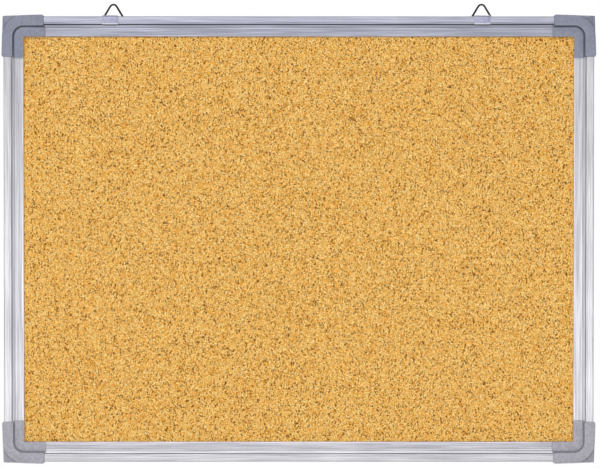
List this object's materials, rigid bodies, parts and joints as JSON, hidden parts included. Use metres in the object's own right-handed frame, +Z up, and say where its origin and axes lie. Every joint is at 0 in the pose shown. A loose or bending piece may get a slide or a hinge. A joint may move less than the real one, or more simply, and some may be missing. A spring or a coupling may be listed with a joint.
{
  "type": "cork board",
  "caption": "Wall-hung cork board in an extruded aluminium frame, with moulded corner caps and wire rings on clips that slide along the top rail.",
  "frame": {"origin": "centre of the framed board, in the plane of the wall that it hangs on, which the backs of the corner caps touch", "axes": "+X along the top rail to the right as seen from the front, +Y from the front into the wall, +Z up"},
  "size_m": [0.6034, 0.0209, 0.4686],
  "materials": {
    "rail_aluminium": "satin, with fine lines along the extrusion",
    "cap_plastic": "grey moulded plastic with a faint grain",
    "cork": "fine-grained agglomerated cork, unsealed",
    "core_fibreboard": "raw soft fibreboard",
    "backing_card": "plain pale grey card",
    "zinc_steel": "zinc plated",
    "ring_wire": "bright nickel plated"
  },
  "bodies": {
    "frame": {"cork_sheet": "cork", "core_board": "core_fibreboard", "backing_sheet": "backing_card", "top_rail": "rail_aluminium", "right_rail": "rail_aluminium", "bottom_rail": "rail_aluminium", "left_rail": "rail_aluminium", "top_right_cap": "cap_plastic", "bottom_right_cap": "cap_plastic", "bottom_left_cap": "cap_plastic", "top_left_cap": "cap_plastic", "top_right_screw_top_rail": "zinc_steel", "top_right_screw_right_rail": "zinc_steel", "bottom_right_screw_right_rail": "zinc_steel", "bottom_right_screw_bottom_rail": "zinc_steel", "bottom_left_screw_bottom_rail": "zinc_steel", "bottom_left_screw_left_rail": "zinc_steel", "top_left_screw_left_rail": "zinc_steel", "top_left_screw_top_rail": "zinc_steel"},
    "left_clip": {"left_hanger_clip": "zinc_steel"},
    "left_ring": {"left_hanger_ring": "ring_wire"},
    "right_clip": {"right_hanger_clip": "zinc_steel"},
    "right_ring": {"right_hanger_ring": "ring_wire"}
  },
  "joints": [
    {"name": "left_clip_slide", "type": "slide", "parent": "frame", "child": "left_clip", "axis": [1, 0, 0], "range_m": [-0.059, 0.178]},
    {"name": "left_ring_hinge", "type": "hinge", "parent": "left_clip", "child": "left_ring", "pos_m": [-0.1893, -0.0023, 0.22545], "axis": [1, 0, 0], "range_deg": [-180, 25]},
    {"name": "right_clip_slide", "type": "slide", "parent": "frame", "child": "right_clip", "axis": [1, 0, 0], "range_m": [-0.1755, 0.0615]},
    {"name": "right_ring_hinge", "type": "hinge", "parent": "right_clip", "child": "right_ring", "pos_m": [0.1865, -0.0023, 0.22545], "axis": [1, 0, 0], "range_deg": [-180, 25]}
  ]
}
